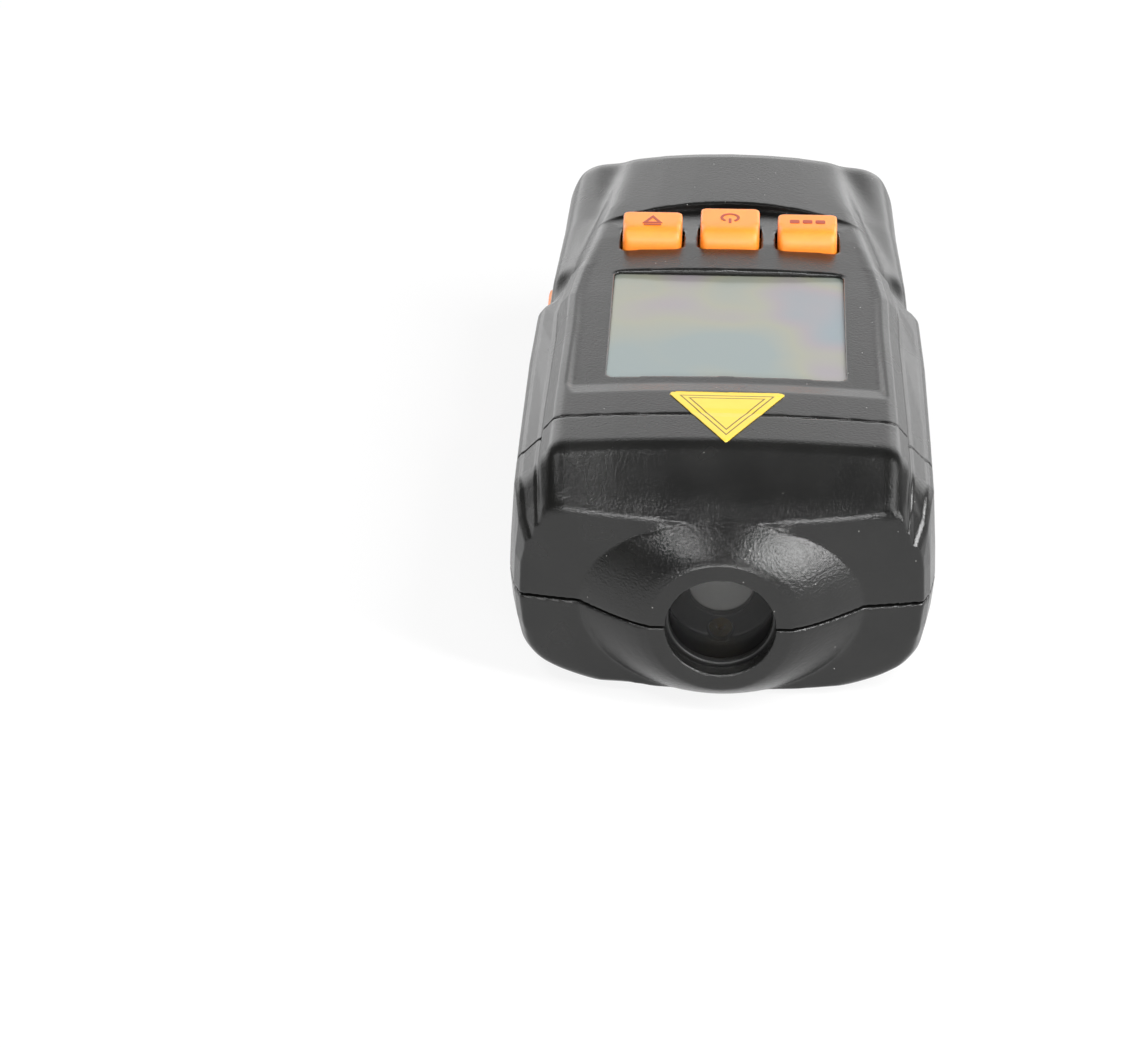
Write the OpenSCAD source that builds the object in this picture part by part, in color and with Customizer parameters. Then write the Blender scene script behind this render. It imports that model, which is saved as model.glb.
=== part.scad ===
// Handheld laser tachometer, lying on its back: lens end towards -Y, display up, origin at the bottom centre.

/* [Body] */
// Greatest width of the case
body_w = 58.4; // [52:0.2:70]
// Length from the lens ring to the tail
body_len = 110; // [104:0.5:130]
// Height of the raised panel above the back
body_h = 35; // [33:0.5:42]
// Wall thickness of the covers
wall = 2.2; // [1.6:0.1:2.6]
// Height of the line where upper and lower case meet
parting_z = 14; // [13:0.1:15]
// Gap along the parting line
parting_gap = 0.4; // [0.2:0.05:0.6]
// Gap between nose cap and top cover
seam_gap = 0.2; // [0.1:0.05:0.4]
// Radius of the tail corners seen from above
tail_r = 8; // [4:0.5:12]
// Forward bulge radius of the front face
front_r = 140; // [90:1:200]
// Rearward bulge radius of the tail end
tail_bulge_r = 85; // [70:1:300]
// Narrowing of each flank from the front part to the grip
waist_step = 1.2; // [0.4:0.1:2]
// Narrowing of each flank along the grip
grip_taper = 2; // [0:0.1:4]

/* [Raised panel] */
// Half width of the panel at the nose
ridge_nose = 22.9; // [21.5:0.1:24]
// Half width of the panel at the tail
ridge_tail = 13.6; // [13:0.1:18]
// Sideways run of the panel's chamfer
ridge_run = 1.95; // [1:0.05:2.4]
// Drop of the panel's chamfer
ridge_drop = 2; // [1:0.05:2.6]
// Height of the upright foot under the chamfer
ridge_foot = 1.5; // [0.5:0.05:1.7]
// Drop of the shoulder from the panel to its outer edge
shoulder_drop = 6.6; // [6:0.1:7]
// Drop of the shoulder at the tail
shoulder_tail = 2; // [1.9:0.1:4]
// Rounding of the shoulder's outer edge
brim_round = 0.6; // [0.4:0.1:1]
// Rounding of the shoulder's outer edge at the tail
brim_tail = 3.5; // [1:0.1:4]
// Share of the panel's step that is left at the tail
tail_step = 0.2; // [0.15:0.05:1]
// Lift of the chin under the front face
chin = 2.4; // [1:0.1:3]
// Lean of the flanks from the shoulder to the parting line
flank_lean = 1.1; // [0.6:0.1:1.4]
// Crown of the panel across its width
crown = 0.9; // [0.3:0.05:1.1]
// Depth of the display field below the lip
field_depth = 0.5; // [0.2:0.05:0.8]
// Depth of the crescent step behind the keys
crescent_depth = 1.3; // [0.6:0.1:1.6]
// Radius of the crescent step
crescent_r = 35; // [30:0.5:40]
// Radius of the trough on each shoulder
dent_r = 5; // [4:0.1:7]
// Depth of the trough on each shoulder
dent_depth = 1.5; // [0.8:0.1:2]

/* [Nose] */
// Reach of the snout in front of the front face
snout_len = 5; // [4:0.1:7]
// Length of the nose slope
slope_run = 8.2; // [7:0.1:10]
// Drop of the nose slope
slope_drop = 7.6; // [5:0.1:8]
// Radius of the round over the top edge of the slope
slope_round = 4; // [2:0.5:5]
// Flat length between the slope and the seam
seam_run = 8.2; // [5:0.1:9]
// Half width of the snout where it leaves the front face
snout_w = 19.4; // [17:0.1:21]
// Half height of the snout where it leaves the front face
snout_h = 13.6; // [12.5:0.1:14]
// Radius of the flat ring around the lens bore
ring_r = 9.7; // [9:0.1:10.5]
// Radius of the lens bore
bore_r = 7.4; // [6.5:0.1:7.6]

/* [Optics] */
// Outer radius of the lens barrel
barrel_r = 9; // [8.6:0.1:9.2]
// Wall of the lens barrel
barrel_wall = 1.1; // [0.8:0.1:1.3]
// Depth of the barrel behind the ring
barrel_inset = 2.6; // [2:0.1:3.5]
// Length of the barrel
barrel_len = 20; // [18:0.5:22]
// Width of the lip that holds the lens window
barrel_lip = 1.2; // [0.8:0.1:1.5]
// Thickness of the lens window
window_t = 1.2; // [0.8:0.1:2]
// Radius of the collecting lens
lens_r = 4.7; // [4:0.1:5]
// Thickness of the collecting lens
lens_t = 2.4; // [1.8:0.1:3]
// Depth of the collecting lens behind the ring
lens_inset = 10.5; // [9:0.1:12]
// Radius of the laser module
laser_r = 1.6; // [1.2:0.1:1.7]
// Length of the laser module
laser_len = 7; // [5:0.5:8]

/* [Display] */
// Width of the display opening
display_w = 33.2; // [30:0.1:34.5]
// Length of the display opening
display_l = 32.4; // [30:0.1:33]
// Corner radius of the display opening
display_corner = 1; // [0.5:0.1:2]
// Gap from the lip to the opening
display_margin = 2.3; // [1:0.1:2.5]
// Length of the bevel in front of the display field
bevel_run = 3.1; // [2:0.1:4]
// Flat length between the seam and the bevel
lip_run = 6.6; // [5.5:0.1:7]
// Border of the window plate under the cover
window_border = 1.3; // [0.8:0.1:1.5]
// Thickness of the display window plate
plate_t = 1.2; // [0.8:0.1:1.5]
// Recess of the plate below the panel
plate_recess = 1.4; // [1.2:0.1:1.6]

/* [Keys] */
// Width of a key
key_w = 8.8; // [7:0.1:9.2]
// Distance between the keys
key_pitch = 11.5; // [11:0.1:12]
// Length of the middle key
key_len = 8.7; // [8:0.1:10]
// Shortening of the outer keys
key_short = 1.6; // [0.5:0.1:2.4]
// Height of the keys above the panel
key_rise = 2.2; // [1:0.1:3]
// Rounding of the keys' near edge
key_round = 2.4; // [1:0.1:3]
// Rounding of the keys' corners
key_corner = 0.8; // [0.4:0.1:1.5]
// Travel of the keys
key_travel = 0.7; // [0.3:0.05:0.8]
// Clearance around a key
key_gap = 0.3; // [0.2:0.05:0.4]
// Flange that keeps a key under the cover
key_flange = 0.8; // [0.5:0.1:0.9]
// Way of the side key's middle behind the waist
side_key_back = 11; // [10.5:0.5:16]
// Length of the side key
side_key_len = 12; // [9:0.5:14]
// Height of the side key
side_key_h = 6; // [4:0.5:7]
// Gap between the side key's flange and the board above it
side_key_gap = 0.6; // [0.4:0.1:1.5]
// How far the side key stands out of the flank
side_key_rise = 0.9; // [0.5:0.1:1.2]

/* [Battery bay] */
// Diameter of a cell
cell_d = 10.5; // [10:0.1:10.8]
// Length of a cell with its cap
cell_len = 44.5; // [43:0.1:45]
// Height of the cell's cap
cell_nub = 0.9; // [0.6:0.1:1.2]
// Space between cells
cell_gap = 0.5; // [0.3:0.1:0.8]
// Length taken by springs and contacts
contact_room = 3.4; // [2.8:0.1:4]
// Thickness of the contact plates
contact_t = 0.4; // [0.3:0.05:0.6]
// Wire diameter of the battery springs
spring_wire = 0.6; // [0.4:0.05:0.8]
// Thickness of the battery door
door_t = 2.6; // [2.4:0.1:2.8]
// Thickness of the rails along the door
rail_t = 1; // [0.8:0.1:1.1]
// Width of the rails along the door
rail_w = 1.5; // [1:0.1:1.8]
// Running clearance of the door
door_gap = 0.25; // [0.15:0.05:0.35]
// Number of grip grooves on the door
grip_count = 6; // [3:1:8]
// Distance between the grip grooves
grip_pitch = 2; // [1.6:0.1:2.4]

/* [Board and fasteners] */
// Thickness of the boards
board_t = 1.6; // [1:0.1:1.8]
// Gap between the board and the shoulder ledge above it
board_gap = 0.5; // [0.3:0.1:1]
// Gap between the board's sides and the inner wall
board_side = 1.5; // [1:0.1:2.5]
// Shaft radius of the case screws
screw_r = 1.3; // [1:0.05:1.4]
// Head radius of the case screws
head_r = 2.3; // [2:0.1:2.5]
// Thickness of the screw heads
head_t = 1.5; // [1:0.1:1.8]
// Radius of the screw bosses
boss_r = 2.7; // [2.5:0.1:2.9]
// Shaft radius of the board screws
board_screw_r = 0.9; // [0.7:0.05:1]

/* [Hidden] */
$fn = 64;
eps = 0.01;
far = 200;
fit_gap = 0.15;

// Steps from the display's end to the waist, the keys and the crescent, and lengths along the grip
waist_back = 1;
key_back = 7.1;
crescent_back = 6.6;
roll_run = 5.2;
grip_run = 16;

// Places along the case
ring_y = -body_len / 2;
tail_y = body_len / 2;
front_y = ring_y + snout_len;
slope_y = front_y + slope_run;
seam_y = slope_y + seam_run;
lip_y = seam_y + lip_run;
field_y = lip_y + bevel_run;
display_y0 = field_y + display_margin;
display_y1 = display_y0 + display_l;
display_mid = (display_y0 + display_y1) / 2;
waist_y = display_y1 + waist_back;
key_y0 = display_y1 + key_back;
crescent_y = key_y0 + key_len + crescent_back;
roll_y = tail_y - roll_run;
grip_y = roll_y - grip_run;
half_w = body_w / 2;

// Outline rules of the case: half widths and heights along its length
side_table = [
    [ring_y, half_w - 4.8], [front_y, half_w - 3], [front_y + 5, half_w - 0.9], [slope_y + 2, half_w],
    [display_mid, half_w - 0.1], [waist_y - 2.5, half_w - 0.5], [waist_y + 0.5, half_w - 0.5 - waist_step],
    [grip_y, half_w - 1.1 - waist_step - grip_taper / 3], [tail_y, half_w - 0.5 - waist_step - grip_taper]
];
ridge_table = [
    [ring_y, ridge_nose - 1], [slope_y, ridge_nose], [lip_y, ridge_nose - 0.1],
    [display_mid, ridge_nose - 0.5], [waist_y - 8, ridge_nose - 0.4], [waist_y, ridge_nose - 1.3],
    [tail_y, ridge_tail]
];
slope_rate = slope_drop / slope_run;
slope_angle = atan(slope_rate);
slope_lead = slope_y + slope_round * tan(slope_angle / 2);
slope_arc = [for (k = [4 : -1 : 0]) let (a = slope_angle * k / 4)
    [slope_lead - slope_round * sin(a), body_h - slope_round * (1 - cos(a))]];
top_table = concat([[ring_y, body_h - slope_rate * (slope_y - ring_y)]], slope_arc, [
    [roll_y, body_h], [roll_y + 2, body_h - 0.5], [roll_y + 3.5, body_h - 1.5], [tail_y, body_h - 3]
]);
field_table = [
    [lip_y, 0], [field_y, field_depth], [display_y1, field_depth * 0.5], [key_y0, 0.1], [key_y0 + 4, 0]
];
shoulder_table = [[waist_y, shoulder_drop], [roll_y, shoulder_tail]];
step_table = [[waist_y, 1], [roll_y, tail_step]];
brim_table = [[waist_y, brim_round], [roll_y, brim_tail]];
chin_table = [[front_y, chin], [front_y + 2, chin * 0.38], [front_y + 5, 0]];
function shoulder_at(y) = lookup(y, shoulder_table);
function step_at(y) = lookup(y, step_table);
function brim_at(y) = lookup(y, brim_table);
function chin_at(y) = lookup(y, chin_table);
function side_half(y) = lookup(y, side_table);
function ridge_half(y) = lookup(y, ridge_table);
function top_at(y) = lookup(y, top_table);
function field_at(y) = lookup(y, field_table);

// Heights of what lies inside
roof_z = body_h - 2.6;
plate_top = body_h - plate_recess;
ledge_z = body_h - shoulder_drop - wall - 0.4;
floor_t = door_t + 1.4;
axis_z = parting_z;
board_top = ledge_z - board_gap;
board_z = board_top - board_t;

// Display stack
plate_w = display_w + 2 * window_border;
plate_l = display_l + 2 * window_border;
panel_t = 2;
panel_top = plate_top - plate_t - fit_gap;
frame_wall = 0.9;
strip_w = 1.8;
panel_w = display_w + 1.6;
panel_l = display_l + 2.4;
frame_w = panel_w + 2 * (frame_wall + fit_gap);
frame_l = panel_l + 2 * (frame_wall + fit_gap);

// Cross section of the case at one place, from the panel's middle down to the back
function half_section(y) =
    let (t = top_at(y), r = ridge_half(y), s = side_half(y), f = field_at(y))
    let (edge = t - crown, drop = ridge_drop * step_at(y), shoulder = edge - drop - ridge_foot * step_at(y))
    let (outer = max(r + ridge_run + 1.2, s - flank_lean), brim = t - shoulder_at(y), c = chin_at(y))
    let (foot = r + ridge_run + 0.7, b = brim_at(y))
    [
        [0, t - f], [r * 0.35, t - crown * 0.12 - f], [r * 0.65, t - crown * 0.42 - f],
        [r * 0.93, t - crown * 0.86 - f], [r - 0.5, edge + 0.05], [r + ridge_run * 0.3, edge - drop * 0.18],
        [r + ridge_run * 0.6, edge - drop * 0.56], [r + ridge_run, edge - drop],
        [foot - 0.5, shoulder], [foot, shoulder - 0.15], [max(foot + 0.2, outer - b), brim],
        [max(foot + 0.4, outer - b * 0.35), brim - b * 0.25], [outer + 0.35, brim - b - 0.4],
        [s - 0.2, parting_z + 5], [s, parting_z], [s - 0.4, parting_z - 4.5],
        [s - 1.2, 5.4 + c * 0.6], [s - 2.9, 3 + c], [s - 5.4, 1.4 + c * 1.25], [s - 7.8, 0.5 + c * 1.2],
        [s - 9.8, c], [s * 0.32, c * 0.5]
    ];

function ring_at(y) =
    let (h = half_section(y), n = len(h))
    concat([for (i = [0 : n - 1]) [h[i][0], y, h[i][1]]],
        [for (i = [n - 1 : -1 : 1]) [-h[i][0], y, h[i][1]]]);

// Closed skin through rings of equal point counts
module skin(rings) {
    n = len(rings[0]);
    m = len(rings);
    points = [for (ring = rings) for (p = ring) p];
    sides = [for (k = [0 : m - 2]) for (i = [0 : n - 1])
        let (a = k * n + i, b = k * n + (i + 1) % n)
        for (f = [[a, a + n, b], [b, a + n, b + n]]) f];
    caps = [[for (i = [0 : n - 1]) i], [for (i = [n - 1 : -1 : 0]) (m - 1) * n + i]];
    polyhedron(points, concat(sides, caps));
}

stations = concat([ring_y, front_y, front_y + 2, front_y + 5], [for (p = slope_arc) p[0]], [
    lip_y, field_y, display_mid, waist_y - 8, waist_y - 2.5, waist_y + 0.5, key_y0, key_y0 + 4, grip_y,
    roll_y, roll_y + 2, roll_y + 3.5, tail_y
]);

// Outline of the tail seen from above, with its rounded corners
module tail_plan() {
    corner_x = side_half(tail_y - tail_r) - tail_r;
    corner_y = tail_y - tail_r - tail_bulge_r + sqrt(pow(tail_bulge_r, 2) - pow(corner_x, 2));
    translate([-far / 2, -far]) square([far, far + corner_y]);
    translate([-corner_x, 0]) square([2 * corner_x, tail_y + 1]);
    for (s = [-1, 1]) translate([s * corner_x, corner_y]) circle(tail_r, $fn = 64);
}

// Solid outer form of the case without the snout
module case_form() {
    intersection() {
        skin([for (y = stations) ring_at(y)]);
        translate([0, front_y + front_r, -1]) cylinder(h = body_h + 2, r = front_r, $fn = 256);
        translate([0, tail_y - tail_bulge_r, -1]) cylinder(h = body_h + 2, r = tail_bulge_r, $fn = 256);
        translate([0, 0, -1]) linear_extrude(body_h + 2) tail_plan();
    }
}

// Snout: rounded cone from an ellipse on the front face to the flat ring
snout_sides = 72;
snout_steps = 6;
// Share of its slope that the snout runs on behind the front face
snout_root = 0.05;
function snout_ring(t, back) =
    [for (i = [0 : snout_sides - 1])
        let (a = 360 * i / snout_sides, q = 1 - pow(1 - t, 1.25))
        let (x = (snout_w + (ring_r - snout_w) * t) * cos(a))
        let (z = (snout_h + (ring_r - snout_h) * t) * sin(a))
        let (face = front_y + front_r - sqrt(pow(front_r, 2) - pow(snout_w * cos(a), 2)))
        [x, face + (ring_y - face) * q + back, axis_z + z]];
module snout() {
    slope = [for (k = [1 : snout_steps]) snout_ring(k / snout_steps, 0)];
    skin(concat([snout_ring(-snout_root, wall)], [snout_ring(-snout_root, 0)], slope));
}

// Bore along the lens axis
module axis_cylinder(y, length, r) {
    translate([0, y, axis_z]) rotate([-90, 0, 0]) cylinder(h = length, r = r);
}

// Bore of the snout with the seat of the barrel behind it
module lens_bore() {
    axis_cylinder(ring_y - 1, barrel_inset + 2, bore_r);
    axis_cylinder(ring_y + barrel_inset - fit_gap, barrel_len, barrel_r + fit_gap);
}

// Hollow of the case seen from above, as a share of the flank line
module inner_plan(inset) {
    ys = [for (y = stations) if (y > front_y + wall && y < tail_y - tail_r) y];
    right = [for (y = ys) [side_half(y) - inset, y]];
    left = [for (i = [len(ys) - 1 : -1 : 0]) [-side_half(ys[i]) + inset, ys[i]]];
    corner_y = tail_y - tail_r;
    wide = side_half(corner_y) - inset;
    tail_x = side_half(corner_y) - tail_r;
    tail_in = tail_y - inset - 1;
    tail = [[wide, corner_y], [tail_x, tail_in], [-tail_x, tail_in], [-wide, corner_y]];
    polygon(concat(right, tail, left));
}

// Hollow under the raised panel
module panel_plan() {
    ys = [for (y = stations) if (y > front_y + wall && y < roll_y) y];
    right = [for (y = ys) [ridge_half(y) - 0.4, y]];
    left = [for (i = [len(ys) - 1 : -1 : 0]) [-ridge_half(ys[i]) + 0.4, ys[i]]];
    polygon(concat(right, left));
}

module slice(y0, y1, z0, z1) {
    translate([-far / 2, y0, z0]) cube([far, y1 - y0, z1 - z0]);
}

module rounded_plate(w, l, h, r) {
    linear_extrude(h) {
        square([w, l - 2 * r], center = true);
        square([w - 2 * r, l], center = true);
        for (x = [-1, 1], y = [-1, 1]) translate([x * (w / 2 - r), y * (l / 2 - r)]) circle(r, $fn = 32);
    }
}

// Keys in their row, with the sign of the side they lie on
function key_length(side) = key_len - key_short * abs(side);
key_top = body_h + key_rise;
flange_top = roof_z - key_gap;
switch_top = flange_top - 1 - key_travel - fit_gap;

module key_slot(side) {
    translate([side * key_pitch, key_y0 + key_length(side) / 2, roof_z - 5])
        rounded_plate(key_w + 2 * key_gap, key_length(side) + 2 * key_gap, far, key_corner + key_gap);
}

// One key: rounded near edge, flange underneath
module key(side) {
    l = key_length(side);
    mid = key_y0 + l / 2;
    color("darkorange") {
        intersection() {
            translate([side * key_pitch, mid, flange_top - 1])
                rounded_plate(key_w, l, key_top - flange_top + 1, key_corner);
            translate([side * key_pitch - key_w, 0, 0]) rotate([90, 0, 90]) linear_extrude(2 * key_w) {
                translate([key_y0, 0]) square([l, key_top - key_round]);
                translate([key_y0 + key_round, 0]) square([l, key_top]);
                translate([key_y0 + key_round, key_top - key_round]) circle(key_round);
            }
        }
        translate([side * key_pitch, mid, flange_top - 1])
            rounded_plate(key_w + 2 * key_flange, l + 2 * key_flange, 1, key_corner);
    }
}

// Trough across each shoulder at the waist, running forward and out along the shoulder's slope
dent_turn = 32;
dent_dip = 38;
dent_len = 14;
module dent(side) {
    y = waist_y + 4.4;
    x = (ridge_half(y) + ridge_run + side_half(y)) / 2;
    lift = dent_r - dent_depth;
    translate([side * (x + lift * sin(dent_dip)), y, body_h - shoulder_drop + 1 + lift * cos(dent_dip)])
        rotate([0, 0, -side * dent_turn]) rotate([0, side * (90 + dent_dip), 0]) {
            cylinder(h = dent_len, r = dent_r);
            sphere(dent_r);
        }
}

// Crescent floor that sinks from the keys to the step
module crescent() {
    fall = atan(crescent_depth / (crescent_y - key_y0));
    intersection() {
        translate([0, crescent_y - crescent_r, 0]) cylinder(h = far, r = crescent_r, $fn = 128);
        translate([-far / 2, key_y0, body_h - 0.05]) rotate([-fall, 0, 0]) cube([far, far, far]);
        translate([-far / 2, key_y0 - 2, 0]) cube([far, far, far]);
    }
}

screw_bite = 12;
screw_places = [
    [-1, seam_y + 5.4, half_w - 8], [1, seam_y + 5.4, half_w - 8],
    [-1, tail_y - wall - 3.2, 12.5], [1, tail_y - wall - 3.2, 12.5]
];
board_w = 2 * (side_half(roll_y) - wall - board_side);
board_y0 = display_y0 - 2.6;
board_y1 = roll_y - 5.5;
board_post_r = 1.8;
board_bite = 3.6;
board_head_t = 1.2;
board_corner = 1.5;
board_ys = [display_mid + frame_l / 2 + board_post_r + fit_gap, board_y1 - 3.5];
board_places = [for (s = [-1, 1]) for (y = board_ys) [s * (min(ridge_half(y), board_w / 2) - 2.6), y]];

module top_bosses() {
    for (p = screw_places)
        translate([p[0] * p[2], p[1], parting_z + 3])
            cylinder(h = roof_z - parting_z - 2.9, r = boss_r, $fn = 32);
    for (p = board_places)
        translate([p[0], p[1], board_top]) cylinder(h = roof_z + 0.1 - board_top, r = board_post_r, $fn = 32);
}

side_key_y = waist_y + side_key_back;
side_key_z = board_z - side_key_gap - key_flange - side_key_h / 2;
side_key_face = side_half(side_key_y + side_key_len / 2);
module side_key_box(grow, x0, x1) {
    translate([-x1, side_key_y - side_key_len / 2 - grow, side_key_z - side_key_h / 2 - grow])
        cube([x1 - x0, side_key_len + 2 * grow, side_key_h + 2 * grow]);
}

module top_cover() {
    color("dimgray") difference() {
        union() {
            difference() {
                intersection() {
                    case_form();
                    slice(seam_y, far, parting_z + parting_gap / 2, far);
                }
                linear_extrude(ledge_z) inner_plan(wall);
                linear_extrude(roof_z) panel_plan();
            }
            intersection() {
                top_bosses();
                case_form();
            }
        }
        translate([0, display_mid, 0]) rounded_plate(display_w, display_l, far, display_corner);
        translate([0, display_mid, roof_z - 1])
            rounded_plate(plate_w + 2 * fit_gap, plate_l + 2 * fit_gap, plate_top - roof_z + 1, display_corner);
        for (side = [-1, 0, 1]) key_slot(side);
        for (side = [-1, 1]) dent(side);
        crescent();
        side_key_box(key_gap, side_key_face - 3 * wall, side_key_face + 3 * wall);
        for (p = screw_places)
            translate([p[0] * p[2], p[1], parting_z]) cylinder(h = screw_bite, r = screw_r, $fn = 32);
        for (p = board_places)
            translate([p[0], p[1], board_top - 1]) cylinder(h = board_bite + 1.4, r = board_screw_r, $fn = 32);
    }
}

module nose_hollow() {
    back = seam_y + 1;
    in_y = front_y + wall + 1.6;
    rotate([90, 0, 90]) translate([0, 0, -ridge_nose + 3]) linear_extrude(2 * ridge_nose - 6)
        polygon([[back, 0], [back, roof_z], [slope_y + 1, roof_z], [in_y, body_h - slope_drop - wall],
            [in_y, 0]]);
    linear_extrude(parting_z + 6) inner_plan(wall + 1.2);
}

module nose_cap() {
    color("dimgray") difference() {
        intersection() {
            union() {
                case_form();
                snout();
            }
            slice(-far, seam_y - seam_gap, parting_z + parting_gap / 2, far);
        }
        nose_hollow();
        lens_bore();
    }
}

// Battery bay and door, all along Y
bay_w = 3 * cell_d + 4 * cell_gap;
bay_y0 = tail_y - wall - 6.2 - cell_len - contact_room - 1.5;
bay_y1 = bay_y0 + cell_len + contact_room;
bay_top = door_t + door_gap + cell_d + 0.6;
cell_z = door_t + door_gap + cell_d / 2;
door_w = bay_w;
door_y0 = bay_y0 - 1.5;

module door_form(grow) {
    translate([-door_w / 2 - grow, door_y0 - grow, -1]) cube([door_w + 2 * grow, far, door_t + 1 + grow]);
    translate([-door_w / 2 - rail_w - grow, door_y0 - grow, door_t - rail_t - grow])
        cube([door_w + 2 * rail_w + 2 * grow, far, rail_t + 2 * grow]);
}

module battery_door() {
    color("dimgray") difference() {
        intersection() {
            door_form(0);
            case_form();
        }
        for (i = [0 : grip_count - 1])
            translate([0, door_y0 + 8 + i * grip_pitch, -0.3]) rotate([0, 90, 0])
                cylinder(h = door_w * 0.5, r = 0.7, center = true, $fn = 24);
    }
}

// Cradle that carries the rear end of the lens barrel
cradle_t = 2;
module rear_cover() {
    color("dimgray") difference() {
        union() {
            difference() {
                union() {
                    intersection() {
                        case_form();
                        slice(-far, far, -1, parting_z - parting_gap / 2);
                    }
                    intersection() {
                        snout();
                        slice(-far, seam_y, -1, parting_z - parting_gap / 2);
                    }
                }
                difference() {
                    translate([0, 0, floor_t]) linear_extrude(far) inner_plan(wall + 0.6);
                    slice(-far, front_y + wall + 2.4, -far, far);
                }
            }
            translate([-bay_w / 2 - 1.5, bay_y0 - 1.5, floor_t - eps])
                cube([bay_w + 3, bay_y1 - bay_y0 + 3, bay_top + 1.5 - floor_t]);
            for (p = screw_places)
                translate([p[0] * p[2], p[1], floor_t - 1])
                    cylinder(h = parting_z + 2.8 - floor_t + 1, r = boss_r, $fn = 32);
            translate([-barrel_r - cradle_t, barrel_y + barrel_len - 2 * cradle_t, floor_t - eps])
                cube([2 * (barrel_r + cradle_t), cradle_t, axis_z - cradle_t - floor_t]);
        }
        lens_bore();
        translate([-bay_w / 2, bay_y0, -1]) cube([bay_w, bay_y1 - bay_y0, bay_top + 1]);
        door_form(door_gap);
        for (p = screw_places) translate([p[0] * p[2], p[1], -1]) {
            cylinder(h = far, r = screw_r + fit_gap, $fn = 32);
            cylinder(h = 1 + floor_t + head_t, r = head_r + fit_gap, $fn = 32);
        }
    }
}

module display_window() {
    color("lightgray", 0.5) translate([0, display_mid, plate_top - plate_t])
        rounded_plate(plate_w, plate_l, plate_t, display_corner);
}

// Display stack between the window plate and the main board
module display_panel() {
    color("silver") translate([0, display_mid, panel_top - panel_t])
        rounded_plate(panel_w, panel_l, panel_t, 0.3);
}

module display_frame() {
    color("white") translate([0, display_mid, board_top]) difference() {
        rounded_plate(frame_w, frame_l, panel_top - 0.4 - board_top, 0.8);
        translate([0, 0, -1]) rounded_plate(panel_w + 2 * fit_gap, panel_l + 2 * fit_gap, far, 0.3);
    }
}

module backlight_panel() {
    color("ivory") translate([0, display_mid, board_top])
        rounded_plate(panel_w - 1, panel_l - 4 * strip_w, panel_top - panel_t - board_top, 0.5);
}

module contact_strips() {
    color("pink") for (s = [-1, 1])
        translate([0, display_mid + s * (panel_l / 2 - strip_w / 2 - 0.4), board_top])
            rounded_plate(panel_w - 1, strip_w, panel_top - panel_t - board_top, 0.3);
}

module main_board() {
    color("darkgreen") difference() {
        translate([0, (board_y0 + board_y1) / 2, board_z])
            rounded_plate(board_w, board_y1 - board_y0, board_t, board_corner);
        for (p = board_places)
            translate([p[0], p[1], 0]) cylinder(h = far, r = board_screw_r + fit_gap, $fn = 32);
    }
}

module board_screws() {
    color("silver") for (p = board_places) translate([p[0], p[1], 0]) {
        translate([0, 0, board_z - board_head_t])
            cylinder(h = board_head_t, r = 2 * board_screw_r - 0.1, $fn = 32);
        translate([0, 0, board_z - 0.1]) cylinder(h = board_t + board_bite, r = board_screw_r - 0.05, $fn = 32);
    }
}

chip_w = 12;
chip_t = 1.8;
module control_chip() {
    color("black") translate([0, display_mid, board_z - chip_t]) rounded_plate(chip_w, chip_w, chip_t, 0.4);
}

switch_w = 6;
switch_nub_r = 1.7;
switch_nub_h = 0.9;
module key_switches() {
    for (side = [-1, 0, 1]) translate([side * key_pitch, key_y0 + key_length(side) / 2, board_top]) {
        color("black") rounded_plate(switch_w, switch_w, switch_top - switch_nub_h - board_top, 0.5);
        color("white") cylinder(h = switch_top - board_top, r = switch_nub_r, $fn = 32);
    }
}

side_flange = side_key_face - wall - key_gap - 0.4;
side_switch_x = side_flange - 1 - key_travel - fit_gap;
side_switch_t = 3.4;
module side_switch() {
    translate([0, side_key_y, side_key_z]) {
        color("black") translate([-side_switch_x + switch_nub_h, -switch_w / 2, -switch_w / 2])
            cube([side_switch_t, switch_w, board_z - side_key_z + switch_w / 2]);
        color("white") translate([-side_switch_x, 0, 0]) rotate([0, 90, 0])
            cylinder(h = 2 * switch_nub_h, r = switch_nub_r, $fn = 32);
    }
}

module side_key() {
    color("darkorange") {
        side_key_box(0, side_flange - 1, side_key_face + side_key_rise);
        side_key_box(key_flange, side_flange - 1, side_flange);
    }
}

module light_key() { key(-1); }
module power_key() { key(0); }
module memory_key() { key(1); }

// Lens barrel with the lip in front, the lens seat inside and a way for the laser below it
barrel_y = ring_y + barrel_inset;
barrel_in = barrel_r - barrel_wall;
lens_y = ring_y + lens_inset;
seat_t = 1.4;
laser_z = axis_z - lens_r - laser_r - 0.3;
module lens_barrel() {
    color("black") difference() {
        axis_cylinder(barrel_y, barrel_len, barrel_r);
        axis_cylinder(barrel_y - 1, barrel_lip + 2, barrel_in - 0.9);
        axis_cylinder(barrel_y + barrel_lip, lens_y - barrel_y - barrel_lip, barrel_in);
        axis_cylinder(lens_y + seat_t + lens_t, barrel_len, barrel_in);
        axis_cylinder(lens_y - 1, barrel_len, lens_r - 0.3);
        axis_cylinder(lens_y + seat_t, barrel_len, lens_r + fit_gap);
        translate([0, lens_y - 1, laser_z]) rotate([-90, 0, 0]) cylinder(h = barrel_len, r = laser_r + fit_gap);
    }
}

module lens_window() {
    color("dimgray", 0.6) axis_cylinder(barrel_y + barrel_lip + fit_gap, window_t, barrel_in - fit_gap);
}

// Plano-convex lens turned about the axis, its dome towards the window
module collecting_lens() {
    dome = 0.9;
    dome_r = (pow(lens_r, 2) + pow(dome, 2)) / (2 * dome);
    color("gray", 0.7) translate([0, lens_y + seat_t + fit_gap, axis_z]) rotate([-90, 0, 0]) intersection() {
        cylinder(h = lens_t, r = lens_r);
        translate([0, 0, lens_t - dome - dome_r + dome]) sphere(dome_r, $fn = 96);
    }
}

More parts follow.
